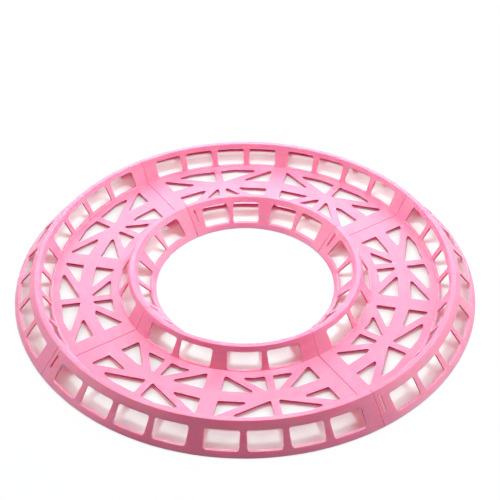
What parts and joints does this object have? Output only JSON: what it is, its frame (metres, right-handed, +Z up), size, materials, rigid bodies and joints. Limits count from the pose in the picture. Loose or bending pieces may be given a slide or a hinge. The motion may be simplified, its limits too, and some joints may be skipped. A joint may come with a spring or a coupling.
{
  "type": "hamster running track",
  "caption": "Flat ring track of clipped quarter sections: a lattice floor between hollow leaning rails with windows, for a small pet's exercise ball to roll round.",
  "frame": {"origin": "centre of the ring, on the ground plane that the rails' feet stand on", "axes": "+Z up, out of the ring's plane; -Y through the middle of the front section, +X through the middle of the right section, so the seams lie on the diagonals"},
  "size_m": [0.48, 0.48, 0.0268],
  "materials": {
    "pink_plastic": "satin moulded polypropylene"
  },
  "bodies": {
    "front_section": {"track_section_front": "pink_plastic"},
    "right_section": {"track_section_right": "pink_plastic"},
    "back_section": {"track_section_back": "pink_plastic"},
    "left_section": {"track_section_left": "pink_plastic"}
  },
  "joints": [
    {"name": "right_section_slide", "type": "slide", "parent": "front_section", "child": "right_section", "axis": [0.7071, 0.7071, 0], "range_m": [0, 0.01]},
    {"name": "left_section_slide", "type": "slide", "parent": "front_section", "child": "left_section", "axis": [-0.7071, 0.7071, 0], "range_m": [0, 0.01]},
    {"name": "back_section_slide", "type": "slide", "parent": "right_section", "child": "back_section", "axis": [-0.7071, 0.7071, 0], "range_m": [0, 0.01]}
  ],
  "couplings": [
    {"joint": "back_section_slide", "follows": "left_section_slide", "ratio": 1}
  ]
}
